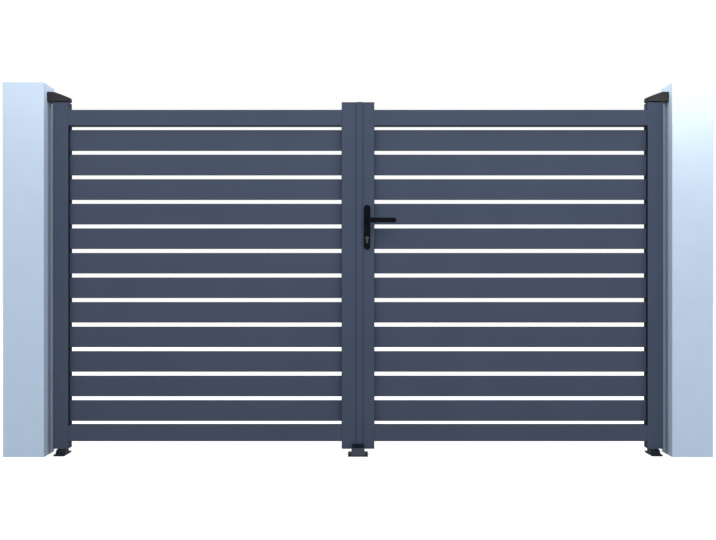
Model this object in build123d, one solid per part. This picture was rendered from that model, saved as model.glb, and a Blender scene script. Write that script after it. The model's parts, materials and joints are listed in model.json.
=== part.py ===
from build123d import *
import os

# Double-leaf aluminium swing gate, hung between two rendered masonry pillars.
# X runs along the gateway, +Y points into the property, +Z is up.
# The origin is the centre of the left pillar's foot, and sizes are in millimetres.

# Gateway and pillars
OPENING = 3000.0
PILLAR_SIZE = 196.0
PILLAR_RISE = 36.0
PILLAR_EDGE = 4.0

# Leaf frame: square-cut tubes, stiles running past the rails as short horns
GROUND_GAP = 31.0
PANEL_HEIGHT = 1600.0
HORN = 36.5
STILE_WIDTH = 75.0
RAIL_HEIGHT = 75.0
FRAME_DEPTH = 75.0
FRAME_WALL = 2.0
FRAME_CORNER = 2.5
PILLAR_CLEARANCE = 26.5
MEETING_GAP = 8.0

# Slats: hollow boards with one web, plugged into slots in the stiles
SLAT_COUNT = 12
SLAT_HEIGHT = 100.0
SLAT_DEPTH = 20.0
SLAT_WALL = 1.4
SLAT_BEVEL = 1.5
SLAT_TENON = 12.0
SLOT_CLEARANCE = 0.3

# End caps of the stiles
CAP_FLANGE = 4.0
CAP_PLUG = 30.0
CAP_SKIRT = 3.0
CAP_CLEARANCE = 0.2

# Top hinge brackets and their pins
BRACKET_GAP = 5.0
BRACKET_RADIUS = 45.0
BRACKET_ROOT_WIDTH = 84.0
BRACKET_ROOT_HEIGHT = 45.0
BRACKET_TIP_HEIGHT = 17.0
BRACKET_FLAT = 33.0
BRACKET_EDGE = 3.0
TOP_PIN_RADIUS = 7.0
TOP_PIN_REACH = 27.0
PIN_SEAT = 0.05
PIN_CLEARANCE = 0.2

# Floor pivots and their pins
PIVOT_PLATE_WIDTH = 53.0
PIVOT_PLATE_LENGTH = 150.0
PLATE_THICKNESS = 6.0
PLATE_CORNER = 6.0
PIVOT_HOLE_RADIUS = 5.0
PIVOT_HOLE_SPACING = 118.0
PIVOT_BOSS_WIDTH = 49.0
PIVOT_BOSS_LENGTH = 84.0
PIVOT_BOSS_HEIGHT = 20.0
PIVOT_BOSS_TAPER = 12.0
FLOOR_PIN_RADIUS = 8.0
FLOOR_PIN_REACH = 26.0
THRUST_RADIUS = 15.0
THRUST_CLEARANCE = 0.3

# Floor stop in the middle of the gateway
STOP_PLATE_WIDTH = 96.0
STOP_PLATE_LENGTH = 136.0
STOP_HOLE_RADIUS = 4.0
STOP_HOLE_SPACING_X = 80.0
STOP_HOLE_SPACING_Y = 112.0
STOP_BLOCK_WIDTH = 66.0
STOP_BLOCK_TOP_WIDTH = 62.0
STOP_BLOCK_DEPTH = 25.0
STOP_BLOCK_CREST = 10.0
STOP_BLOCK_TOP = 38.0
BUFFER_WIDTH = 64.0
BUFFER_TOP_WIDTH = 56.0
BUFFER_DEPTH = 9.0
BUFFER_TOP = 58.0
BUFFER_CLEARANCE = 5.0

# Cover strip over the meeting gap, carried by the left leaf
STRIP_BEFORE = 6.0
STRIP_LAP = 20.0
STRIP_THICKNESS = 2.5
STRIP_CROWN = 2.5
STRIP_GAP = 5.0
CARRIER_THICKNESS = 2.5
CARRIER_DEPTH = 22.0

# Lock and strike, let in flush with the meeting edges of the lock stiles
HANDLE_HEIGHT = 1133.0
LOCK_BACKSET = 40.0
CYLINDER_DROP = 85.0
LOCK_PLATE_WIDTH = 22.0
LOCK_PLATE_LENGTH = 230.0
LOCK_PLATE_RISE = -40.0
LATCH_WIDTH = 12.0
LATCH_HEIGHT = 24.0
BOLT_HEIGHT = 32.0
BOLT_LENGTH = 24.0
LOCK_CLEARANCE = 0.3
CYLINDER_RADIUS = 8.5
CYLINDER_TAIL_WIDTH = 10.0
CYLINDER_TOTAL = 33.0
CYLINDER_PROUD = 2.0
CYLINDER_EDGE = 1.0
CYLINDER_HOLE_CLEARANCE = 1.0
KEYWAY_WIDTH = 2.0
KEYWAY_HEIGHT = 9.0
KEYWAY_DEPTH = 5.0

# Handle: long plates on both faces and a pair of bent levers on one spindle
HANDLE_PLATE_WIDTH = 30.0
HANDLE_PLATE_LENGTH = 215.0
HANDLE_PLATE_THICKNESS = 9.0
HANDLE_PLATE_RISE = 75.5
HANDLE_PLATE_EDGE = 2.5
LEVER_LENGTH = 139.0
LEVER_REACH = 46.0
LEVER_HEIGHT = 23.0
LEVER_THICKNESS = 13.0
LEVER_EDGE = 5.0
LEVER_BEND = 20.0
LEVER_SHANK_RADIUS = 8.0
LEVER_HUB_RADIUS = 11.0
LEVER_HUB_LENGTH = 9.0
LEVER_CLEARANCE = 0.4
SPINDLE_SIZE = 8.0
SPINDLE_CLEARANCE = 0.1
SPINDLE_GRIP = 20.0
SPINDLE_HOLE_RADIUS = 10.0

# Places worked out from the sizes above
PILLAR_FACE = PILLAR_SIZE / 2
GATE_CENTRE = PILLAR_FACE + OPENING / 2
PIVOT_X = PILLAR_FACE + PILLAR_CLEARANCE + STILE_WIDTH / 2
HINGE_STILE_INNER = PIVOT_X + STILE_WIDTH / 2
LOCK_STILE_EDGE = GATE_CENTRE - MEETING_GAP / 2
LOCK_STILE_X = LOCK_STILE_EDGE - STILE_WIDTH / 2
LOCK_STILE_INNER = LOCK_STILE_EDGE - STILE_WIDTH
FRONT = -FRAME_DEPTH / 2
LEAF_TOP = GROUND_GAP + 2 * HORN + PANEL_HEIGHT
BOTTOM_RAIL_Z = GROUND_GAP + HORN + RAIL_HEIGHT / 2
TOP_RAIL_Z = LEAF_TOP - HORN - RAIL_HEIGHT / 2
SLAT_GAP = (PANEL_HEIGHT - 2 * RAIL_HEIGHT - SLAT_COUNT * SLAT_HEIGHT) / (SLAT_COUNT + 1)
SLAT_PITCH = SLAT_HEIGHT + SLAT_GAP
FIRST_SLAT_Z = BOTTOM_RAIL_Z + RAIL_HEIGHT / 2 + SLAT_GAP + SLAT_HEIGHT / 2
SLAT_LEVELS = [FIRST_SLAT_Z + i * SLAT_PITCH for i in range(SLAT_COUNT)]
BRACKET_BASE = LEAF_TOP + BRACKET_GAP
PILLAR_HEIGHT = BRACKET_BASE + BRACKET_ROOT_HEIGHT + PILLAR_RISE
STRIP_BACK = FRONT - STRIP_GAP
STRIP_FRONT = STRIP_BACK - STRIP_THICKNESS - STRIP_CROWN
BUFFER_BACK = STRIP_FRONT - BUFFER_CLEARANCE
BLOCK_BACK = BUFFER_BACK - BUFFER_DEPTH
STOP_PLATE_Y = BLOCK_BACK - STOP_BLOCK_DEPTH + STOP_PLATE_LENGTH / 2
HANDLE_X = GATE_CENTRE + MEETING_GAP / 2 + LOCK_BACKSET
CYLINDER_Z = HANDLE_HEIGHT - CYLINDER_DROP
LOCK_PLATE_Z = HANDLE_HEIGHT + LOCK_PLATE_RISE
PLATE_FACE = FRONT - HANDLE_PLATE_THICKNESS
HANDLE_PLATE_Z = HANDLE_HEIGHT + HANDLE_PLATE_RISE - HANDLE_PLATE_LENGTH / 2
LEVER_FACE = PLATE_FACE - LEVER_CLEARANCE


def right_hand(shape):
    """The same piece on the other leaf or pillar, across the gateway's centre plane."""
    return mirror(shape, about=Plane.YZ.offset(GATE_CENTRE))


def back_face(shape):
    """The same piece on the inner face of the leaf."""
    return mirror(shape, about=Plane.XZ)


def hollow(width, height, wall, corner):
    """Section of a drawn tube with rounded outer corners."""
    return RectangleRounded(width, height, corner) - Rectangle(width - 2 * wall, height - 2 * wall)


def pillar():
    """Square shaft, rounded at its upright corners and eased along its top."""
    shaft = extrude(RectangleRounded(PILLAR_SIZE, PILLAR_SIZE, PILLAR_EDGE), PILLAR_HEIGHT)
    crown = shaft.edges().group_by(Axis.Z)[-1]
    return chamfer(crown, PILLAR_EDGE / 2)


def slat_slots(wall_x):
    """Cutters for the row of slots through the stile wall at wall_x."""
    reach = 2 * FRAME_WALL
    section = Rectangle(SLAT_DEPTH + 2 * SLOT_CLEARANCE, SLAT_HEIGHT + 2 * SLOT_CLEARANCE)
    cutter = extrude(Plane.YZ * section, reach, both=True)
    return [Pos(wall_x, 0, level) * cutter for level in SLAT_LEVELS]


def stile(centre_x, inner_x):
    """Upright tube between its end caps, slotted for the slats on the side at inner_x."""
    length = LEAF_TOP - GROUND_GAP - 2 * CAP_FLANGE
    tube = extrude(hollow(STILE_WIDTH, FRAME_DEPTH, FRAME_WALL, FRAME_CORNER), length)
    return Pos(centre_x, 0, GROUND_GAP + CAP_FLANGE) * tube - slat_slots(inner_x)


def rail(level):
    section = hollow(FRAME_DEPTH, RAIL_HEIGHT, FRAME_WALL, FRAME_CORNER)
    tube = extrude(Plane.YZ * section, LOCK_STILE_INNER - HINGE_STILE_INNER)
    return Pos(HINGE_STILE_INNER, 0, level) * tube


def slat():
    """One board: two long chambers either side of a middle web."""
    chamber_height = (SLAT_HEIGHT - 3 * SLAT_WALL) / 2
    chamber = Rectangle(SLAT_DEPTH - 2 * SLAT_WALL, chamber_height)
    offset = (chamber_height + SLAT_WALL) / 2
    section = chamfer(Rectangle(SLAT_DEPTH, SLAT_HEIGHT).vertices(), SLAT_BEVEL)
    section -= [Pos(0, offset) * chamber, Pos(0, -offset) * chamber]
    length = LOCK_STILE_INNER - HINGE_STILE_INNER + 2 * SLAT_TENON
    return Pos(HINGE_STILE_INNER - SLAT_TENON, 0, 0) * extrude(Plane.YZ * section, length)


def slats():
    board = slat()
    return Compound([Pos(0, 0, level) * board.solid() for level in SLAT_LEVELS])


def cap_body():
    """Flange and plug of a stile's end cap, flange down, standing on Z = 0."""
    plug_width = STILE_WIDTH - 2 * (FRAME_WALL + CAP_CLEARANCE)
    plug_depth = FRAME_DEPTH - 2 * (FRAME_WALL + CAP_CLEARANCE)
    flange = extrude(RectangleRounded(STILE_WIDTH, FRAME_DEPTH, FRAME_CORNER), CAP_FLANGE)
    return flange + Pos(0, 0, CAP_FLANGE) * extrude(Rectangle(plug_width, plug_depth), CAP_PLUG)


def bearing_cap(bore_radius):
    """End cap of a hinge stile, bored for a pivot pin."""
    bore = extrude(Circle(bore_radius), CAP_FLANGE + CAP_PLUG)
    return cap_body() - bore


def plain_cap():
    """End cap of a lock stile, with a hollow skirt."""
    inset = 2 * (FRAME_WALL + CAP_CLEARANCE + CAP_SKIRT)
    pocket = extrude(Rectangle(STILE_WIDTH - inset, FRAME_DEPTH - inset), CAP_PLUG)
    return cap_body() - Pos(0, 0, CAP_FLANGE) * pocket


def at_foot(cap, centre_x):
    return Pos(centre_x, 0, GROUND_GAP) * cap


def at_head(cap, centre_x):
    return Pos(centre_x, 0, LEAF_TOP) * mirror(cap, about=Plane.XY)


def top_bracket():
    """Wedge-shaped arm from the pillar, rounded about the pivot and falling to a thin tip."""
    half_root = BRACKET_ROOT_WIDTH / 2
    root = Line((PILLAR_FACE, -half_root), (PILLAR_FACE, half_root))
    nose = Pos(PIVOT_X, 0) * Circle(BRACKET_RADIUS)
    plan = make_hull(root.edges() + nose.edges())
    tip_x = PIVOT_X + BRACKET_RADIUS
    side = Polygon(
        (PILLAR_FACE, 0),
        (tip_x, 0),
        (tip_x, BRACKET_TIP_HEIGHT),
        (PILLAR_FACE + BRACKET_FLAT, BRACKET_ROOT_HEIGHT),
        (PILLAR_FACE, BRACKET_ROOT_HEIGHT),
        align=None,
    )
    arm = extrude(plan, BRACKET_ROOT_HEIGHT) & extrude(Plane.XZ * side, BRACKET_ROOT_WIDTH, both=True)
    upper = arm.edges().filter_by(lambda edge: edge.center().Z > BRACKET_TIP_HEIGHT / 2)
    outer = upper.filter_by(lambda edge: edge.center().X > PILLAR_FACE + BRACKET_EDGE)
    crown = outer.filter_by(lambda edge: edge.bounding_box().min.Z >= BRACKET_TIP_HEIGHT - BRACKET_EDGE)
    arm = chamfer(crown, BRACKET_EDGE)
    bore = Pos(PIVOT_X, 0) * extrude(Circle(TOP_PIN_RADIUS + PIN_SEAT), BRACKET_TIP_HEIGHT)
    return Pos(0, 0, BRACKET_BASE) * (arm - bore)


def top_pin():
    """Pin held in the bracket and turning in the stile's upper bearing cap."""
    length = TOP_PIN_REACH + BRACKET_GAP + BRACKET_TIP_HEIGHT
    shaft = extrude(Circle(TOP_PIN_RADIUS), length)
    shaft = chamfer(shaft.edges().group_by(Axis.Z)[0], TOP_PIN_RADIUS / 5)
    return Pos(PIVOT_X, 0, LEAF_TOP - TOP_PIN_REACH) * shaft


def floor_pivot():
    """Ground plate with a tapered boss that takes the lower pivot pin."""
    plate = extrude(RectangleRounded(PIVOT_PLATE_WIDTH, PIVOT_PLATE_LENGTH, PLATE_CORNER), PLATE_THICKNESS)
    hole = extrude(Circle(PIVOT_HOLE_RADIUS), PLATE_THICKNESS)
    plate -= [Pos(0, side * PIVOT_HOLE_SPACING / 2) * hole for side in (-1, 1)]
    foot = RectangleRounded(PIVOT_BOSS_WIDTH, PIVOT_BOSS_LENGTH, PLATE_CORNER)
    boss = extrude(foot, PIVOT_BOSS_HEIGHT, taper=PIVOT_BOSS_TAPER)
    body = plate + Pos(0, 0, PLATE_THICKNESS) * boss
    bore = extrude(Circle(FLOOR_PIN_RADIUS + PIN_SEAT), PIVOT_BOSS_HEIGHT)
    return Pos(PIVOT_X, 0, 0) * (body - Pos(0, 0, PLATE_THICKNESS) * bore)


def floor_pin():
    """Pin with a thrust collar that carries the leaf under its lower bearing cap."""
    boss_top = PLATE_THICKNESS + PIVOT_BOSS_HEIGHT
    shaft_length = GROUND_GAP + FLOOR_PIN_REACH - PLATE_THICKNESS
    shaft = extrude(Circle(FLOOR_PIN_RADIUS), shaft_length)
    shaft = chamfer(shaft.edges().group_by(Axis.Z)[-1], FLOOR_PIN_RADIUS / 5)
    collar = extrude(Circle(THRUST_RADIUS), GROUND_GAP - THRUST_CLEARANCE - boss_top)
    pin = Pos(0, 0, PLATE_THICKNESS) * shaft + Pos(0, 0, boss_top) * collar
    return Pos(PIVOT_X, 0, 0) * pin


def stop_plate():
    plate = extrude(RectangleRounded(STOP_PLATE_WIDTH, STOP_PLATE_LENGTH, PLATE_CORNER), PLATE_THICKNESS)
    hole = extrude(Circle(STOP_HOLE_RADIUS), PLATE_THICKNESS)
    corners = GridLocations(STOP_HOLE_SPACING_X, STOP_HOLE_SPACING_Y, 2, 2)
    plate -= [corner * hole for corner in corners]
    return Pos(GATE_CENTRE, STOP_PLATE_Y, 0) * plate


def tapered_front(width, top_width, foot_z, top_z):
    """Front outline of the stop's block and buffer, on the gateway's centre line."""
    outline = Polygon(
        (-width / 2, foot_z),
        (width / 2, foot_z),
        (top_width / 2, top_z),
        (-top_width / 2, top_z),
        align=None,
    )
    return Pos(GATE_CENTRE, 0, 0) * (Plane.XZ * outline)


def stop_block():
    """Ramp in front of the buffer: a sloping face up to a narrow crest."""
    block_front = BLOCK_BACK - STOP_BLOCK_DEPTH
    side = Polygon(
        (block_front, PLATE_THICKNESS),
        (BLOCK_BACK, PLATE_THICKNESS),
        (BLOCK_BACK, STOP_BLOCK_TOP),
        (BLOCK_BACK - STOP_BLOCK_CREST, STOP_BLOCK_TOP),
        align=None,
    )
    wedge = Pos(GATE_CENTRE, 0, 0) * extrude(Plane.YZ * side, STOP_BLOCK_WIDTH / 2, both=True)
    front = tapered_front(STOP_BLOCK_WIDTH, STOP_BLOCK_TOP_WIDTH, PLATE_THICKNESS, STOP_BLOCK_TOP)
    return wedge & extrude(front, -2 * BLOCK_BACK)


def stop_buffer():
    front = tapered_front(BUFFER_WIDTH, BUFFER_TOP_WIDTH, PLATE_THICKNESS, BUFFER_TOP)
    pad = Pos(0, BUFFER_BACK, 0) * extrude(front, BUFFER_DEPTH)
    crown = pad.edges().group_by(Axis.Z)[-1]
    return fillet(crown, BUFFER_DEPTH / 4)


def cover_strip():
    """Crowned strip that laps over the right leaf in front of the meeting gap."""
    left = GATE_CENTRE - STRIP_BEFORE
    right = GATE_CENTRE + STRIP_LAP
    edge_y = STRIP_FRONT + STRIP_CROWN
    crown = ThreePointArc((right, edge_y), ((left + right) / 2, STRIP_FRONT), (left, edge_y))
    back = Polyline((left, edge_y), (left, STRIP_BACK), (right, STRIP_BACK), (right, edge_y))
    return Pos(0, 0, GROUND_GAP) * extrude(make_face(crown.edges() + back.edges()), LEAF_TOP - GROUND_GAP)


def strip_carrier():
    """Flat bar on the left lock stile's edge that holds the cover strip."""
    size = (CARRIER_THICKNESS, CARRIER_DEPTH, LEAF_TOP - GROUND_GAP)
    return Pos(LOCK_STILE_EDGE, STRIP_BACK, GROUND_GAP) * Box(*size, align=Align.MIN)


def edge_plate(clearance):
    """Blank of a lock or strike plate, let into the left lock stile's edge."""
    section = RectangleRounded(LOCK_PLATE_WIDTH, LOCK_PLATE_LENGTH, LOCK_PLATE_WIDTH / 4)
    if clearance:
        section = offset(section, clearance)
    blank = extrude(Plane.YZ * section, -FRAME_WALL)
    return Pos(LOCK_STILE_EDGE, 0, LOCK_PLATE_Z) * blank


def bolt_bars(clearance):
    """Latch at the spindle's height and dead bolt at the cylinder's, as bars along X."""
    bars = []
    for level, height in ((HANDLE_HEIGHT, LATCH_HEIGHT), (CYLINDER_Z, BOLT_HEIGHT)):
        section = Plane.YZ * Rectangle(LATCH_WIDTH + 2 * clearance, height + 2 * clearance)
        bars.append(Pos(LOCK_STILE_EDGE, 0, level) * extrude(section, -BOLT_LENGTH))
    return bars


def strike_plate():
    return edge_plate(0) - bolt_bars(LOCK_CLEARANCE)


def lock_bolts():
    """Latch and dead bolt, drawn back flush with the lock's face."""
    return Compound([right_hand(bar).solid() for bar in bolt_bars(0)])


def cylinder_section(clearance):
    """Profile-cylinder outline: a round barrel above a narrow rounded tail."""
    tail_radius = CYLINDER_TAIL_WIDTH / 2 + clearance
    drop = CYLINDER_TOTAL - CYLINDER_RADIUS - CYLINDER_TAIL_WIDTH / 2
    outline = Circle(CYLINDER_RADIUS + clearance)
    outline += Pos(0, -drop / 2) * Rectangle(2 * tail_radius, drop)
    outline += Pos(0, -drop) * Circle(tail_radius)
    return Pos(HANDLE_X, 0, CYLINDER_Z) * (Plane.XZ * outline)


def lock_cylinder():
    half_length = -PLATE_FACE + CYLINDER_PROUD
    barrel = extrude(cylinder_section(0), half_length, both=True)
    ends = barrel.edges().group_by(Axis.Y)
    barrel = chamfer(ends[0] + ends[-1], CYLINDER_EDGE)
    slot = Box(KEYWAY_WIDTH, 2 * KEYWAY_DEPTH, KEYWAY_HEIGHT)
    keyways = [Pos(HANDLE_X, side * half_length, CYLINDER_Z) * slot for side in (-1, 1)]
    return barrel - keyways


def right_lock_stile():
    """Lock stile with its face and edge cut for the lock, the spindle and the cylinder."""
    body = right_hand(stile(LOCK_STILE_X, LOCK_STILE_INNER))
    spindle_hole = Plane.XZ * Circle(SPINDLE_HOLE_RADIUS)
    body -= extrude(Pos(HANDLE_X, 0, HANDLE_HEIGHT) * spindle_hole, FRAME_DEPTH, both=True)
    body -= extrude(cylinder_section(CYLINDER_HOLE_CLEARANCE), FRAME_DEPTH, both=True)
    return body - right_hand(edge_plate(LOCK_CLEARANCE))


def left_lock_stile():
    return stile(LOCK_STILE_X, LOCK_STILE_INNER) - edge_plate(LOCK_CLEARANCE)


def handle_plate():
    """Long plate with round ends, bored for the lever's shank and the cylinder."""
    outline = Plane.XZ * SlotOverall(HANDLE_PLATE_LENGTH, HANDLE_PLATE_WIDTH, rotation=90)
    plate = extrude(Pos(HANDLE_X, FRONT, HANDLE_PLATE_Z) * outline, HANDLE_PLATE_THICKNESS)
    plate = chamfer(plate.edges().group_by(Axis.Y)[0], HANDLE_PLATE_EDGE)
    shank_hole = Plane.XZ * Circle(LEVER_SHANK_RADIUS + LEVER_CLEARANCE)
    plate -= extrude(Pos(HANDLE_X, 0, HANDLE_HEIGHT) * shank_hole, -2 * PLATE_FACE)
    return plate - extrude(cylinder_section(LOCK_CLEARANCE), -2 * PLATE_FACE)


def lever():
    """Bent lever: a shank through the plate, a round hub, and a grip swept round the bend."""
    grip_y = LEVER_FACE - LEVER_REACH
    path = FilletPolyline((0, LEVER_FACE), (0, grip_y), (LEVER_LENGTH, grip_y), radius=LEVER_BEND)
    section_plane = Plane((0, LEVER_FACE, 0), x_dir=(1, 0, 0), z_dir=(0, -1, 0))
    section = section_plane * RectangleRounded(LEVER_THICKNESS, LEVER_HEIGHT, LEVER_EDGE)
    grip = sweep(section, path=path)
    tip_centre = LEVER_LENGTH - LEVER_HEIGHT / 2
    front = Pos(tip_centre, 0) * Circle(LEVER_HEIGHT / 2)
    front += Pos(tip_centre / 2 - LEVER_HEIGHT / 2, 0) * Rectangle(tip_centre + LEVER_HEIGHT, LEVER_HEIGHT)
    grip &= extrude(Plane.XZ * front, 2 * (LEVER_REACH - PLATE_FACE))
    hub = Pos(0, LEVER_FACE, 0) * extrude(Plane.XZ * Circle(LEVER_HUB_RADIUS), LEVER_HUB_LENGTH)
    shank_length = HANDLE_PLATE_THICKNESS + LEVER_CLEARANCE - LOCK_CLEARANCE
    shank = Pos(0, LEVER_FACE, 0) * extrude(Plane.XZ * Circle(LEVER_SHANK_RADIUS), -shank_length)
    socket_size = SPINDLE_SIZE + 2 * SPINDLE_CLEARANCE
    socket_end = FRONT - SPINDLE_GRIP - SPINDLE_CLEARANCE
    socket = Box(socket_size, 2 * -socket_end, socket_size)
    return Pos(HANDLE_X, 0, HANDLE_HEIGHT) * (grip + hub + shank - socket)


def handle_spindle():
    length = 2 * (SPINDLE_GRIP - FRONT)
    return Pos(HANDLE_X, 0, HANDLE_HEIGHT) * Box(SPINDLE_SIZE, length, SPINDLE_SIZE)


upper_bearing = bearing_cap(TOP_PIN_RADIUS + PIN_CLEARANCE)
lower_bearing = bearing_cap(FLOOR_PIN_RADIUS + PIN_CLEARANCE)

# Pieces that are the same on both sides, built on the left
paired = {
    "pillar": pillar(),
    "top_bracket": top_bracket(),
    "top_pin": top_pin(),
    "floor_pivot": floor_pivot(),
    "floor_pin": floor_pin(),
    "hinge_stile": stile(PIVOT_X, HINGE_STILE_INNER),
    "top_rail": rail(TOP_RAIL_Z),
    "bottom_rail": rail(BOTTOM_RAIL_Z),
    "slats": slats(),
    "hinge_top_cap": at_head(upper_bearing, PIVOT_X),
    "hinge_bottom_cap": at_foot(lower_bearing, PIVOT_X),
    "lock_top_cap": at_head(plain_cap(), LOCK_STILE_X),
    "lock_bottom_cap": at_foot(plain_cap(), LOCK_STILE_X),
}

pieces = {}
for name, shape in paired.items():
    pieces["left_" + name] = shape
    pieces["right_" + name] = right_hand(shape)

pieces["left_lock_stile"] = left_lock_stile()
pieces["right_lock_stile"] = right_lock_stile()
pieces["cover_strip"] = cover_strip()
pieces["strip_carrier"] = strip_carrier()
pieces["strike_plate"] = strike_plate()
pieces["lock_faceplate"] = right_hand(strike_plate())
pieces["lock_bolts"] = lock_bolts()
pieces["lock_cylinder"] = lock_cylinder()
pieces["outer_handle_plate"] = handle_plate()
pieces["inner_handle_plate"] = back_face(handle_plate())
pieces["outer_lever"] = lever()
pieces["inner_lever"] = back_face(lever())
pieces["handle_spindle"] = handle_spindle()
pieces["floor_stop_plate"] = stop_plate()
pieces["floor_stop_block"] = stop_block()
pieces["floor_stop_buffer"] = stop_buffer()

os.makedirs("parts", exist_ok=True)
for name, shape in pieces.items():
    export_step(shape, os.path.join("parts", name + ".step"))
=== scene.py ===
import json
import math

import bpy
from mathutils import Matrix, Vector


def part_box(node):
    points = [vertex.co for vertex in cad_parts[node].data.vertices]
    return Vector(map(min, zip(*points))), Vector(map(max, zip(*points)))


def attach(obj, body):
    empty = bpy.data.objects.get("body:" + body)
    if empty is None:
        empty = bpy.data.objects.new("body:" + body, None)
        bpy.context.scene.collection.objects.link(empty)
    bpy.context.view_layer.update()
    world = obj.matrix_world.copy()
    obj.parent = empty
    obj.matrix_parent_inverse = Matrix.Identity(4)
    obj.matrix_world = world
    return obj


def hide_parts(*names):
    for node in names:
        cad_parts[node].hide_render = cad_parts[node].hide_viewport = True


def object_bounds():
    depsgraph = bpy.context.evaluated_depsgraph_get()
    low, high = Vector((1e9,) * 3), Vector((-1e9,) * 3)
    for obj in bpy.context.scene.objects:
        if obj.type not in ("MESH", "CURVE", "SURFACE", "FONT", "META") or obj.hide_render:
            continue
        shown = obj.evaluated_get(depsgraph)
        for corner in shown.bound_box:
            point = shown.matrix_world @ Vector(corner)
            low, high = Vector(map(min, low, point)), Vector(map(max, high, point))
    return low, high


# Looks of a double-leaf aluminium swing gate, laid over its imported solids.
# Metres throughout. X runs along the gateway, +Y points into the property, Z is up.

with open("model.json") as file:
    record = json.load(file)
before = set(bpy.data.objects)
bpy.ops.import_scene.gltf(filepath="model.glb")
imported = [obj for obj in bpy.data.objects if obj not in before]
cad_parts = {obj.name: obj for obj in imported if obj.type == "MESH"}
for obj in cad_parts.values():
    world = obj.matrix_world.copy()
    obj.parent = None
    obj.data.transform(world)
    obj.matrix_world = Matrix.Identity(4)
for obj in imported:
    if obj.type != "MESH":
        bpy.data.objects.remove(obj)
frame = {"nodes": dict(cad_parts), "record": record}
cad_low, cad_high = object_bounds()
solids = frame["nodes"]
record = frame["record"]

MM = 0.001
SIDES = ("left", "right")

# Photograph's frame and viewpoint
IMAGE_WIDTH = 716
CAMERA_DISTANCE = 5.64
CAMERA_HEIGHT = 0.868
CAMERA_LENS = 58.37
SENSOR_WIDTH = 36.0
HORIZON_DROP_PIXELS = 5.4

# Light: an even sky, a long strip over the front, a soft fill from behind the camera, and at each
# pillar's head a pool on its front and a glow on its inner side
SKY_STRENGTH = 0.8
WHITE = "#ffffff"
KEY_POWER = 64.0
KEY_PLACE = (2.3, -1.8, 2.7)
KEY_TARGET = (2.3, 0.0, 1.4)
KEY_SIZE = (7.0, 1.2)
FILL_POWER = 92.0
FILL_PLACE = (1.9, -7.5, 1.2)
FILL_TARGET = (1.6, 0.0, 0.8)
FILL_SIZE = (2.0, 1.5)
POOL_POWER = {"left": 0.70, "right": 3.35}
POOL_TONE = "#ffeccd"
POOL_SIZE = (0.8, 0.1)
POOL_REACH = 0.45
POOL_INWARD = 0.1
POOL_RISE = 0.06
GLOW_POWER = {"left": 0.14, "right": 0.19}
GLOW_SIZE = (0.2, 0.03)
GLOW_REACH = 0.12
GLOW_RISE = 0.05
FLOOR_SIZE = 60.0
FLOOR_DROP = 0.0005
FLOOR_BOUNCE = 0.5
FLOOR_SHOWN = 0.80
FLOOR_GLOW = 0.70

# Boards, cut from one rounded profile, and the black strips of painted shade that their ends pass through
BOARD_COUNT = 12
BOARD_HEIGHT = 100 * MM
BOARD_CORNER = 2 * MM
BOARD_CORNER_STEPS = 5
# Painted shade: thin black rubber sheets over the stiles' inner sides, which lie in shadow between the
# boards
PAINTED_SHADE_THICKNESS = 0.8 * MM
PAINTED_SHADE_MARGIN = 2 * MM
PAINTED_SHADE_CORNER = 3 * MM

# Ground anchors: M8 studs and nuts in the pivots, countersunk screws in the stop
ANCHOR_PLATE = 6 * MM
NUT_FLATS = 13 * MM
NUT_HEIGHT = 6.5 * MM
WASHER_RADIUS = 8 * MM
WASHER_HEIGHT = 1.6 * MM
CROWN_HEIGHT = 1 * MM
STUD_RADIUS = 4 * MM
STUD_PROUD = 2.5 * MM
STUD_BEVEL = 0.6 * MM
STOP_SCREW_RADIUS = 6 * MM
STOP_SCREW_SOCKET = 5 * MM

# Countersunk screws of the lock's plates, and the plugs over the screws of the frame's corners
SCREW_RADIUS = 4 * MM
SCREW_EDGE = 0.3 * MM
SCREW_PROUD = 0.4 * MM
SCREW_SOCKET = 4 * MM
HANDLE_SCREW_MARGIN = 13.5 * MM
LOCK_SCREW_MARGIN = 9 * MM
PLUG_RADIUS = 6 * MM
PLUG_EDGE = 0.8 * MM
PLUG_PROUD = 1.2 * MM
PLUG_SPREAD = 18 * MM
PLUG_INSET = 14 * MM

# Sides of the round and hexagonal forms of fasteners, and a hexagon's corner radius for each unit
# of its width across flats
ROUND_SIDES = 36
STUD_SIDES = 24
HEX_SIDES = 6
HEX_CORNER = 1 / math.sqrt(3)

# Turns, in degrees, that point a fastener's head along an axis
FACING = {"-X": (0, -90, 0), "+X": (0, 90, 0), "+Y": (-90, 0, 0), "+Z": (0, 0, 0)}

# Lines of a brushed metal: how many times longer than wide, and how deep
LINE_STRETCH = 40
LINE_RELIEF = 0.01 * MM

# Sponge-floated render: widths in millimetres of the float's patches and of the sand, and their relief
PATCH_WIDTH = 110
SAND_WIDTH = 1.8
PATCH_RELIEF = 0.9 * MM
SAND_RELIEF = 0.12 * MM

# Colour sockets of a Mix node: its float and vector sockets have the same names
MIX_A = 6
MIX_B = 7
MIX_RESULT = 2


def linear(hex_code):
    """Linear RGBA of an sRGB hex colour."""
    shares = [int(hex_code[i:i + 2], 16) / 255 for i in (1, 3, 5)]
    curve = [s / 12.92 if s <= 0.04045 else ((s + 0.055) / 1.055) ** 2.4 for s in shares]
    return (*curve, 1.0)


def per_metre(size_mm):
    """Pattern scale that gives features of this size."""
    return 1 / (size_mm * MM)


def add(tree, kind, inputs=None, **settings):
    """A new node: settings are its properties, inputs the values or links of its sockets."""
    node = tree.nodes.new(kind)
    for key, value in settings.items():
        setattr(node, key, value)
    for key, value in (inputs or {}).items():
        if isinstance(value, bpy.types.NodeSocket):
            tree.links.new(value, node.inputs[key])
        else:
            node.inputs[key].default_value = value
    return node


def new_finish(name):
    """An empty material, its tree, and the coordinates that its patterns read."""
    finish = bpy.data.materials.new(name)
    finish.use_nodes = True
    finish.node_tree.nodes.clear()
    return finish, finish.node_tree, add(finish.node_tree, "ShaderNodeTexCoord").outputs["Object"]


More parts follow.
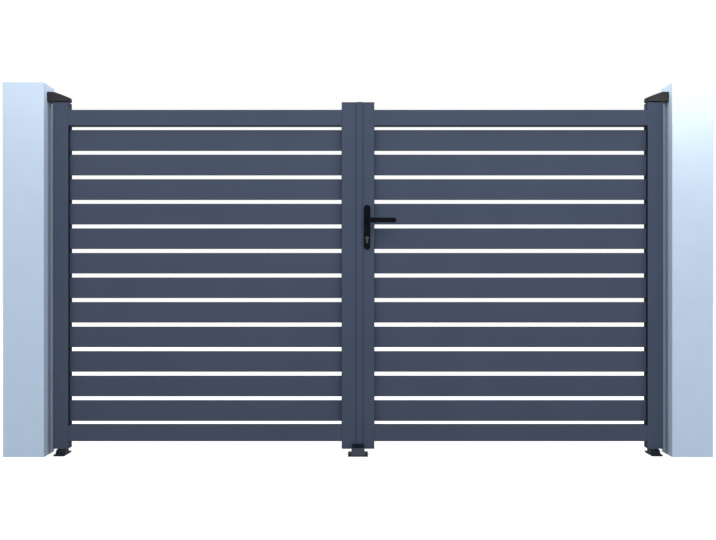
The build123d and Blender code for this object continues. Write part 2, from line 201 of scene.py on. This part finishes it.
def close_finish(tree, sockets):
    """Ends a material's tree in its shader; a value that is the same all over sits on the shader."""
    shader = add(tree, "ShaderNodeBsdfPrincipled", sockets)
    add(tree, "ShaderNodeOutputMaterial", {"Surface": shader.outputs["BSDF"]})


def grained(name, tones, cloud, grain, relief, roughness, constants):
    """A coated or moulded skin: slow drift between two tones, a fine grain in relief and in gloss.

    Cloud, grain and relief are sizes in millimetres, and roughness is a low and a high value.
    """
    finish, tree, place = new_finish(name)
    drift = add(tree, "ShaderNodeTexNoise", {"Vector": place, "Scale": per_metre(cloud), "Detail": 3.0})
    speck = add(tree, "ShaderNodeTexNoise", {"Vector": place, "Scale": per_metre(grain), "Detail": 2.0})
    tone = add(
        tree,
        "ShaderNodeMix",
        {"Factor": drift.outputs["Fac"], MIX_A: linear(tones[0]), MIX_B: linear(tones[1])},
        data_type="RGBA",
    )
    gloss = add(
        tree,
        "ShaderNodeMapRange",
        {"Value": speck.outputs["Fac"], "To Min": roughness[0], "To Max": roughness[1]},
    )
    bump = add(tree, "ShaderNodeBump", {"Height": speck.outputs["Fac"], "Distance": relief * MM})
    sockets = {
        "Base Color": tone.outputs[MIX_RESULT],
        "Roughness": gloss.outputs["Result"],
        "Normal": bump.outputs["Normal"],
    }
    close_finish(tree, {**sockets, **constants})
    return finish


def powder_coat():
    """Fine-textured polyester powder coat, baked on extruded aluminium.

    Its grain breaks up every highlight, so the faces look even and matt. The real grain is
    about 0.2 mm and is drawn coarser, so that it shows close to.
    """
    return grained(
        "powder_coated_aluminium",
        tones=("#3e4758", "#444d5e"),
        cloud=260,
        grain=0.9,
        relief=0.04,
        roughness=(0.62, 0.78),
        constants={"Specular IOR Level": 0.03},
    )


def sand_render():
    """Mineral render, floated with a sponge and painted: pale, dead matt, with a sandy tooth.

    The sand is 1 to 2 mm, and the float leaves shallow patches a hand wide.
    """
    finish, tree, place = new_finish("painted_sand_render")
    patches = add(
        tree,
        "ShaderNodeTexNoise",
        {"Vector": place, "Scale": per_metre(PATCH_WIDTH), "Detail": 4.0},
    )
    sand = add(
        tree,
        "ShaderNodeTexNoise",
        {"Vector": place, "Scale": per_metre(SAND_WIDTH), "Detail": 3.0},
    )
    tone = add(
        tree,
        "ShaderNodeMix",
        {"Factor": patches.outputs["Fac"], MIX_A: linear("#aabcd1"), MIX_B: linear("#b2c4d9")},
        data_type="RGBA",
    )
    swell = add(tree, "ShaderNodeBump", {"Height": patches.outputs["Fac"], "Distance": PATCH_RELIEF})
    tooth = add(
        tree,
        "ShaderNodeBump",
        {"Height": sand.outputs["Fac"], "Distance": SAND_RELIEF, "Normal": swell.outputs["Normal"]},
    )
    close_finish(
        tree,
        {
            "Base Color": tone.outputs[MIX_RESULT],
            "Roughness": 0.9,
            "Specular IOR Level": 0.1,
            "Normal": tooth.outputs["Normal"],
        },
    )
    return finish


def cast_black():
    """Cast aluminium under black powder coat: satin, with the soft pebble of a sand casting."""
    return grained(
        "black_coated_casting",
        tones=("#27292b", "#2e3033"),
        cloud=40,
        grain=1.4,
        relief=0.05,
        roughness=(0.5, 0.62),
        constants={"Specular IOR Level": 0.07},
    )


def pressed_black():
    """Black-painted pressed steel of the floor fittings, dulled a little by the ground."""
    return grained(
        "black_painted_steel",
        tones=("#1a1f27", "#242a33"),
        cloud=22,
        grain=1.1,
        relief=0.04,
        roughness=(0.55, 0.7),
        constants={"Specular IOR Level": 0.08},
    )


def stop_grey():
    """Grey coat on the stop's cast block, a shade off the leaves."""
    return grained(
        "grey_coated_casting",
        tones=("#353b46", "#3c434f"),
        cloud=25,
        grain=1.2,
        relief=0.04,
        roughness=(0.5, 0.64),
        constants={"Specular IOR Level": 0.1},
    )


def moulded_cap():
    """Moulded polyamide with a spark-eroded skin: a touch darker than the tubes that it closes."""
    return grained(
        "moulded_polyamide",
        tones=("#3b4250", "#3f4655"),
        cloud=60,
        grain=0.7,
        relief=0.015,
        roughness=(0.55, 0.66),
        constants={"Specular IOR Level": 0.1},
    )


def buffer_rubber():
    """Moulded EPDM rubber: nearly black, with a dry bloom and no clear highlight."""
    return grained(
        "moulded_rubber",
        tones=("#111822", "#18202b"),
        cloud=14,
        grain=0.8,
        relief=0.03,
        roughness=(0.78, 0.9),
        constants={"Specular IOR Level": 0.05},
    )


def handle_black():
    """Die-cast handle under smooth satin black paint, with a faint soft highlight at its bends."""
    return grained(
        "satin_black_paint",
        tones=("#06080d", "#090c12"),
        cloud=50,
        grain=0.8,
        relief=0.006,
        roughness=(0.36, 0.44),
        constants={"Specular IOR Level": 0.048},
    )


def brushed(name, tones, spacing, along, roughness):
    """A metal drawn over an abrasive belt: fine lines along one axis that stretch its highlights.

    Spacing is the width of a line in millimetres, and along is the axis of the lines.
    """
    stretch = [per_metre(spacing)] * 3
    stretch["XYZ".index(along)] = per_metre(LINE_STRETCH * spacing)
    finish, tree, place = new_finish(name)
    drawn = add(tree, "ShaderNodeMapping", {"Vector": place, "Scale": stretch})
    lines = add(
        tree,
        "ShaderNodeTexNoise",
        {"Vector": drawn.outputs["Vector"], "Scale": 1.0, "Detail": 2.0},
    )
    tone = add(
        tree,
        "ShaderNodeMix",
        {"Factor": lines.outputs["Fac"], MIX_A: linear(tones[0]), MIX_B: linear(tones[1])},
        data_type="RGBA",
    )
    gloss = add(
        tree,
        "ShaderNodeMapRange",
        {"Value": lines.outputs["Fac"], "To Min": roughness[0], "To Max": roughness[1]},
    )
    bump = add(tree, "ShaderNodeBump", {"Height": lines.outputs["Fac"], "Distance": LINE_RELIEF})
    close_finish(
        tree,
        {
            "Base Color": tone.outputs[MIX_RESULT],
            "Metallic": 1.0,
            "Roughness": gloss.outputs["Result"],
            "Normal": bump.outputs["Normal"],
        },
    )
    return finish


def brushed_stainless():
    """Stainless strip, belt-brushed along its length: cool grey with upright hairlines."""
    return brushed(
        "brushed_stainless",
        tones=("#8f9294", "#b9bcbe"),
        spacing=0.5,
        along="Z",
        roughness=(0.28, 0.42),
    )


def plated_steel():
    """Zinc-plated turned steel: pale blue-grey, dulled where the plating is thin."""
    return grained(
        "zinc_plated_steel",
        tones=("#8b8f95", "#a9adb2"),
        cloud=9,
        grain=0.7,
        relief=0.008,
        roughness=(0.32, 0.46),
        constants={"Metallic": 1.0},
    )


def nickelled_brass_in_painted_shade():
    """Lock cylinder in satin nickel over brass, brushed across its face; its greys are far darker than
    bright nickel, as painted shade.
    """
    return brushed(
        "nickelled_brass_in_painted_shade",
        # Painted shade: these tones stand in for the shadow on the cylinder, not the nickel's own
        # brightness
        tones=("#3c3b38", "#5a5852"),
        spacing=0.4,
        along="X",
        roughness=(0.3, 0.44),
    )


FINISHES = {
    "powder_coat": powder_coat(),
    "render": sand_render(),
    "cap_plastic": moulded_cap(),
    "hinge_black": cast_black(),
    "stop_metal": stop_grey(),
    "steel": plated_steel(),
    "cylinder_metal": nickelled_brass_in_painted_shade(),
    "handle_black": handle_black(),
    "rubber": buffer_rubber(),
}
FLOOR_BLACK = pressed_black()
STAINLESS = brushed_stainless()
OWN_FINISH = {
    "left_floor_pivot": FLOOR_BLACK,
    "right_floor_pivot": FLOOR_BLACK,
    "floor_stop_plate": FLOOR_BLACK,
    "lock_faceplate": STAINLESS,
    "strike_plate": STAINLESS,
}


def finish_solids():
    """Gives each solid the finish of its slot, or its own."""
    for part in record["subparts"]:
        node = part["node"]
        finish = OWN_FINISH.get(node, FINISHES[part["material_slot"]])
        for slot in solids[node].material_slots:
            slot.material = finish


def new_tree(name, sockets):
    """A Geometry Nodes tree with one named input for each size."""
    tree = bpy.data.node_groups.new(name, "GeometryNodeTree")
    tree.interface.new_socket("Geometry", in_out="INPUT", socket_type="NodeSocketGeometry")
    tree.interface.new_socket("Geometry", in_out="OUTPUT", socket_type="NodeSocketGeometry")
    for label, kind in sockets.items():
        tree.interface.new_socket(label, in_out="INPUT", socket_type="NodeSocket" + kind)
    return tree, add(tree, "NodeGroupInput").outputs


def end_tree(tree, size, shape):
    """Sets the shape on each point, turned where the tree has an input for it, as plain faces."""
    stand = {"Points": size["Geometry"], "Instance": shape}
    if "Facing" in size:
        stand["Rotation"] = size["Facing"]
    rows = add(tree, "GeometryNodeInstanceOnPoints", stand)
    plain = add(tree, "GeometryNodeRealizeInstances", {"Geometry": rows.outputs["Instances"]})
    done = add(
        tree,
        "GeometryNodeSetMaterial",
        {"Geometry": plain.outputs["Geometry"], "Material": size["Finish"]},
    )
    add(tree, "NodeGroupOutput", {"Geometry": done.outputs["Geometry"]})


def grow(name, tree, points, values, body):
    """A plain mesh, grown by a tree from points, that rides on a body."""
    seed = bpy.data.meshes.new(name)
    seed.from_pydata(points, [], [])
    piece = bpy.data.objects.new(name, seed)
    bpy.context.scene.collection.objects.link(piece)
    modifier = piece.modifiers.new(tree.name, "NODES")
    modifier.node_group = tree
    for item in tree.interface.items_tree:
        if item.name in values:
            modifier[item.identifier] = values[item.name]
    evaluated = piece.evaluated_get(bpy.context.evaluated_depsgraph_get())
    grown = bpy.data.meshes.new_from_object(evaluated)
    piece.modifiers.remove(modifier)
    piece.data = grown
    grown.name = name
    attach(piece, body)
    return piece


def on_face(node, axis):
    """The middle of a solid's face that looks along an axis."""
    low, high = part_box(node)
    place = (low + high) / 2
    i = "XYZ".index(axis[1])
    place[i] = high[i] if axis[0] == "+" else low[i]
    return place


def board_tree():
    """A rounded board drawn out along X from each point."""
    tree, size = new_tree(
        "rounded_boards",
        {
            "Length": "Float",
            "Height": "Float",
            "Depth": "Float",
            "Corner": "Float",
            "Corner steps": "Int",
            "Finish": "Material",
        },
    )
    outline = add(
        tree,
        "GeometryNodeCurvePrimitiveQuadrilateral",
        {"Width": size["Depth"], "Height": size["Height"]},
    )
    rounded = add(
        tree,
        "GeometryNodeFilletCurve",
        {"Curve": outline.outputs["Curve"], "Radius": size["Corner"], "Count": size["Corner steps"]},
        mode="POLY",
    )
    reach = add(tree, "ShaderNodeCombineXYZ", {"X": size["Length"]})
    path = add(tree, "GeometryNodeCurvePrimitiveLine", {"End": reach.outputs["Vector"]})
    board = add(
        tree,
        "GeometryNodeCurveToMesh",
        {"Curve": path.outputs["Curve"], "Profile Curve": rounded.outputs["Curve"], "Fill Caps": True},
    )
    flat = add(
        tree,
        "GeometryNodeSetShadeSmooth",
        {"Geometry": board.outputs["Mesh"], "Shade Smooth": False},
    )
    end_tree(tree, size, flat.outputs["Geometry"])
    return tree


def boards(tree):
    """Twelve boards to a leaf, in the places of the solid ones."""
    for side in SIDES:
        node = side + "_slats"
        low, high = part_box(node)
        pitch = (high.z - low.z - BOARD_HEIGHT) / (BOARD_COUNT - 1)
        middle = (low.y + high.y) / 2
        first = low.z + BOARD_HEIGHT / 2
        points = [(low.x, middle, first + i * pitch) for i in range(BOARD_COUNT)]
        values = {
            "Length": high.x - low.x,
            "Height": BOARD_HEIGHT,
            "Depth": high.y - low.y,
            "Corner": BOARD_CORNER,
            "Corner steps": BOARD_CORNER_STEPS,
            "Finish": FINISHES["powder_coat"],
        }
        row = grow(side + "_boards", tree, points, values, side + "_leaf")
        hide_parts(node)


def painted_shade_strips(tree):
    """A black rubber strip down each stile's side that faces the boards, from rail to rail: painted shade
    on that side, which lies in shadow.
    """
    for side, toward, away in (("left", "+X", "-X"), ("right", "-X", "+X")):
        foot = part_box(side + "_bottom_rail")[1].z
        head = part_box(side + "_top_rail")[0].z
        for stile, axis in (("_hinge_stile", toward), ("_lock_stile", away)):
            low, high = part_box(side + stile)
            face = on_face(side + stile, axis)
            start = face.x if axis == "+X" else face.x - PAINTED_SHADE_THICKNESS
            values = {
                "Length": PAINTED_SHADE_THICKNESS,
                "Height": head - foot,
                "Depth": high.y - low.y - 2 * PAINTED_SHADE_MARGIN,
                "Corner": PAINTED_SHADE_CORNER,
                "Corner steps": BOARD_CORNER_STEPS,
                "Finish": FINISHES["rubber"],
            }
            points = [(start, face.y, (foot + head) / 2)]
            # Each strip is painted shade: a black sheet over the stile's shadowed side
            grow(side + stile + "_painted_shade_strip", tree, points, values, side + "_leaf")


def anchor_tree():
    """A ground anchor at each point: washer, nut with a bevelled crown, and the end of its stud."""
    tree, size = new_tree(
        "ground_anchors",
        {
            "Washer radius": "Float",
            "Washer height": "Float",
            "Nut radius": "Float",
            "Nut height": "Float",
            "Crown radius": "Float",
            "Crown height": "Float",
            "Stud radius": "Float",
            "Tip radius": "Float",
            "Stud height": "Float",
            "Finish": "Material",
        },
    )
    anchor = add(tree, "GeometryNodeJoinGeometry")
    height = 0.0
    for sides, foot, head, rise in (
        (ROUND_SIDES, "Washer radius", "Washer radius", "Washer height"),
        (HEX_SIDES, "Nut radius", "Nut radius", "Nut height"),
        (HEX_SIDES, "Nut radius", "Crown radius", "Crown height"),
        (STUD_SIDES, "Stud radius", "Tip radius", "Stud height"),
    ):
        turned = add(
            tree,
            "GeometryNodeMeshCone",
            {
                "Vertices": sides,
                "Radius Bottom": size[foot],
                "Radius Top": size[head],
                "Depth": size[rise],
            },
        )
        lift = add(tree, "ShaderNodeCombineXYZ", {"Z": height})
        placed = add(
            tree,
            "GeometryNodeTransform",
            {"Geometry": turned.outputs["Mesh"], "Translation": lift.outputs["Vector"]},
        )
        tree.links.new(placed.outputs["Geometry"], anchor.inputs["Geometry"])
        height = add(tree, "ShaderNodeMath", {0: height, 1: size[rise]}, operation="ADD").outputs["Value"]
    end_tree(tree, size, anchor.outputs["Geometry"])
    return tree


def anchor_points(name):
    """Where a stated pattern of bolt holes comes out on top of its plate."""
    mount = next(entry for entry in record["mounts"] if entry["name"] == name)
    centre = Vector(mount["pos_m"])
    half_x = mount["dims"].get("spacing_x_mm", 0.0) * MM / 2
    half_y = mount["dims"]["spacing_y_mm"] * MM / 2
    columns = (-half_x, half_x) if half_x else (0.0,)
    return [centre + Vector((x, y, ANCHOR_PLATE)) for x in columns for y in (-half_y, half_y)]


def anchors(tree):
    """Studs with their nuts, in front of and behind each floor pivot."""
    corner = NUT_FLATS * HEX_CORNER
    values = {
        "Washer radius": WASHER_RADIUS,
        "Washer height": WASHER_HEIGHT,
        "Nut radius": corner,
        "Nut height": NUT_HEIGHT - CROWN_HEIGHT,
        "Crown radius": corner - CROWN_HEIGHT,
        "Crown height": CROWN_HEIGHT,
        "Stud radius": STUD_RADIUS,
        "Tip radius": STUD_RADIUS - STUD_BEVEL,
        "Stud height": STUD_PROUD,
        "Finish": FLOOR_BLACK,
    }
    for side in SIDES:
        name = side + "_pivot_anchors"
        grow(name, tree, anchor_points(name), values, "posts")


def facing(axis):
    """The turn, in radians, that points a fastener's head along an axis."""
    return [math.radians(angle) for angle in FACING[axis]]


def bevelled_disc(tree, size):
    """A low disc with a bevelled edge: a screw's head or a plug."""
    rim = add(tree, "ShaderNodeMath", {0: size["Radius"], 1: size["Edge"]}, operation="SUBTRACT")
    disc = add(
        tree,
        "GeometryNodeMeshCone",
        {
            "Vertices": ROUND_SIDES,
            "Radius Top": rim.outputs["Value"],
            "Radius Bottom": size["Radius"],
            "Depth": size["Proud"],
        },
    )
    return disc.outputs["Mesh"]


def screw_tree():
    """A countersunk screw at each point: only the rim of its head and its hexagon socket show."""
    tree, size = new_tree(
        "countersunk_screws",
        {
            "Radius": "Float",
            "Edge": "Float",
            "Proud": "Float",
            "Socket": "Float",
            "Facing": "Rotation",
            "Finish": "Material",
        },
    )
    corner = add(tree, "ShaderNodeMath", {0: size["Socket"], 1: HEX_CORNER}, operation="MULTIPLY")
    bit = add(
        tree,
        "GeometryNodeMeshCylinder",
        {"Vertices": HEX_SIDES, "Radius": corner.outputs["Value"], "Depth": size["Socket"]},
    )
    cut = add(
        tree,
        "GeometryNodeMeshBoolean",
        {"Mesh 1": bevelled_disc(tree, size), "Mesh 2": bit.outputs["Mesh"]},
        operation="DIFFERENCE",
    )
    end_tree(tree, size, cut.outputs["Mesh"])
    return tree


def lock_screws(tree):
    """Two screws in each plate of the lock that is seen from inside or with the gate open."""
    plates = (
        ("inner_handle_plate", "+Y", "right_leaf", HANDLE_SCREW_MARGIN),
        ("lock_faceplate", "-X", "right_leaf", LOCK_SCREW_MARGIN),
        ("strike_plate", "+X", "left_leaf", LOCK_SCREW_MARGIN),
    )
    for node, axis, body, margin in plates:
        low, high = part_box(node)
        face = on_face(node, axis)
        points = [(face.x, face.y, z) for z in (low.z + margin, high.z - margin)]
        values = {
            "Radius": SCREW_RADIUS,
            "Edge": SCREW_EDGE,
            "Proud": SCREW_PROUD,
            "Socket": SCREW_SOCKET,
            "Facing": facing(axis),
            "Finish": FINISHES["steel"],
        }
        grow(node + "_screws", tree, points, values, body)


def stop_screws(tree):
    """Four larger screws of the same kind, which hold the stop's plate to the ground."""
    values = {
        "Radius": STOP_SCREW_RADIUS,
        "Edge": SCREW_EDGE,
        "Proud": SCREW_PROUD,
        "Socket": STOP_SCREW_SOCKET,
        "Facing": facing("+Z"),
        "Finish": FLOOR_BLACK,
    }
    name = "floor_stop_anchors"
    grow(name, tree, anchor_points(name), values, "posts")


def plug_tree():
    """A round plug with a bevelled edge at each point."""
    tree, size = new_tree(
        "cover_plugs",
        {
            "Radius": "Float",
            "Edge": "Float",
            "Proud": "Float",
            "Facing": "Rotation",
            "Finish": "Material",
        },
    )
    end_tree(tree, size, bevelled_disc(tree, size))
    return tree


def plugs(tree):
    """Plugs over the corner screws, which run through the stiles into the ends of the rails."""
    for side, outer, meeting in (("left", "-X", "+X"), ("right", "+X", "-X")):
        rails = [on_face(side + rail, outer) for rail in ("_bottom_rail", "_top_rail")]
        for stile, axis, inset in (("_hinge_stile", outer, 0.0), ("_lock_stile", meeting, PLUG_INSET)):
            face = on_face(side + stile, axis)
            heights = [rail.z + step for rail in rails for step in (-PLUG_SPREAD, PLUG_SPREAD)]
            points = [(face.x, face.y + inset, z) for z in heights]
            values = {
                "Radius": PLUG_RADIUS,
                "Edge": PLUG_EDGE,
                "Proud": PLUG_PROUD,
                "Facing": facing(axis),
                "Finish": FINISHES["cap_plastic"],
            }
            grow(side + stile + "_plugs", tree, points, values, side + "_leaf")


def stand_camera():
    """The photograph's viewpoint: square on, at the height of the horizon between the slats."""
    lens = bpy.data.cameras.new("camera")
    lens.lens = CAMERA_LENS
    lens.sensor_width = SENSOR_WIDTH
    lens.shift_y = HORIZON_DROP_PIXELS / IMAGE_WIDTH
    camera = bpy.data.objects.new("camera", lens)
    camera.location = ((cad_low.x + cad_high.x) / 2, -CAMERA_DISTANCE, CAMERA_HEIGHT)
    camera.rotation_euler = (math.radians(90), 0, 0)
    bpy.context.scene.collection.objects.link(camera)
    bpy.context.scene.camera = camera


def hang_lamp(name, size, power, tone, place, target):
    """A flat lamp that lights the object and isn't seen itself, straight or mirrored."""
    lamp = bpy.data.lights.new(name, "AREA")
    lamp.shape = "RECTANGLE"
    lamp.size, lamp.size_y = size
    lamp.energy = power
    lamp.color = linear(tone)[:3]
    holder = bpy.data.objects.new(name, lamp)
    holder.location = place
    holder.rotation_euler = (Vector(target) - Vector(place)).to_track_quat("-Z", "Y").to_euler()
    holder.visible_camera = False
    holder.visible_glossy = False
    bpy.context.scene.collection.objects.link(holder)
    return holder


def light_scene():
    """The photograph's light: brighter upward on the gate, and more so on the pillars' heads."""
    hang_lamp("key", KEY_SIZE, KEY_POWER, WHITE, KEY_PLACE, KEY_TARGET)
    hang_lamp("fill", FILL_SIZE, FILL_POWER, WHITE, FILL_PLACE, FILL_TARGET)
    for side, inner, inward in (("left", "+X", 1), ("right", "-X", -1)):
        node = side + "_pillar"
        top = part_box(node)[1].z
        lit = bpy.data.collections.new(side + "_head")
        lit.objects.link(solids[node])
        lit.objects.link(solids[side + "_top_bracket"])
        head = on_face(node, "-Y")
        head.z = top + POOL_RISE
        place = head + Vector((inward * POOL_INWARD, -POOL_REACH, 0))
        pool = hang_lamp(side + "_pool", POOL_SIZE, POOL_POWER[side], POOL_TONE, place, head)
        pool.light_linking.receiver_collection = lit
        edge = on_face(node, inner)
        edge.z = top
        place = edge + Vector((inward * GLOW_REACH, 0, GLOW_RISE))
        glow = hang_lamp(side + "_glow", GLOW_SIZE, GLOW_POWER[side], WHITE, place, edge)
        glow.light_linking.receiver_collection = lit


def shown_rays(tree):
    """1 for the rays that show the background: straight, mirrored or seen through glass."""
    path = add(tree, "ShaderNodeLightPath").outputs
    mirrored = add(
        tree,
        "ShaderNodeMath",
        {0: path["Is Camera Ray"], 1: path["Is Glossy Ray"]},
        operation="MAXIMUM",
    )
    return add(
        tree,
        "ShaderNodeMath",
        {0: mirrored.outputs["Value"], 1: path["Is Transmission Ray"]},
        operation="MAXIMUM",
    ).outputs["Value"]


def make_sky():
    """White where it shows, and a softer even light on the object."""
    world = bpy.data.worlds.new("sky")
    world.use_nodes = True
    tree = world.node_tree
    tree.nodes.clear()
    light = add(tree, "ShaderNodeBackground", {"Color": linear(WHITE), "Strength": SKY_STRENGTH})
    backdrop = add(tree, "ShaderNodeBackground", {"Color": linear(WHITE), "Strength": 1.0})
    mix = add(
        tree,
        "ShaderNodeMixShader",
        {0: shown_rays(tree), 1: light.outputs["Background"], 2: backdrop.outputs["Background"]},
    )
    add(tree, "ShaderNodeOutputWorld", {"Surface": mix.outputs["Shader"]})
    bpy.context.scene.world = world


def lay_floor():
    """Plain white floor that keeps the object's shadow, greyer in the light that it throws back."""
    mesh = bpy.data.meshes.new("floor")
    half = FLOOR_SIZE / 2
    middle = (cad_low.x + cad_high.x) / 2
    ways = ((-1, -1), (1, -1), (1, 1), (-1, 1))
    corners = [(middle + x * half, y * half, -FLOOR_DROP) for x, y in ways]
    mesh.from_pydata(corners, [], [(0, 1, 2, 3)])
    floor = bpy.data.objects.new("floor", mesh)
    bpy.context.scene.collection.objects.link(floor)
    paint = bpy.data.materials.new("white_floor")
    paint.use_nodes = True
    tree = paint.node_tree
    tree.nodes.clear()
    bounce = add(tree, "ShaderNodeBsdfDiffuse", {"Color": (FLOOR_BOUNCE, FLOOR_BOUNCE, FLOOR_BOUNCE, 1)})
    lit = add(tree, "ShaderNodeBsdfDiffuse", {"Color": (FLOOR_SHOWN, FLOOR_SHOWN, FLOOR_SHOWN, 1)})
    glow = add(tree, "ShaderNodeEmission", {"Color": (1, 1, 1, 1), "Strength": FLOOR_GLOW})
    white = add(tree, "ShaderNodeAddShader", {0: lit.outputs["BSDF"], 1: glow.outputs["Emission"]})
    mix = add(
        tree,
        "ShaderNodeMixShader",
        {0: shown_rays(tree), 1: bounce.outputs["BSDF"], 2: white.outputs["Shader"]},
    )
    add(tree, "ShaderNodeOutputMaterial", {"Surface": mix.outputs["Shader"]})
    mesh.materials.append(paint)


finish_solids()
rounded_boards = board_tree()
boards(rounded_boards)
painted_shade_strips(rounded_boards)
anchors(anchor_tree())
countersunk = screw_tree()
lock_screws(countersunk)
stop_screws(countersunk)
plugs(plug_tree())
stand_camera()
light_scene()
make_sky()
lay_floor()

bpy.context.scene.view_settings.view_transform = "Standard"
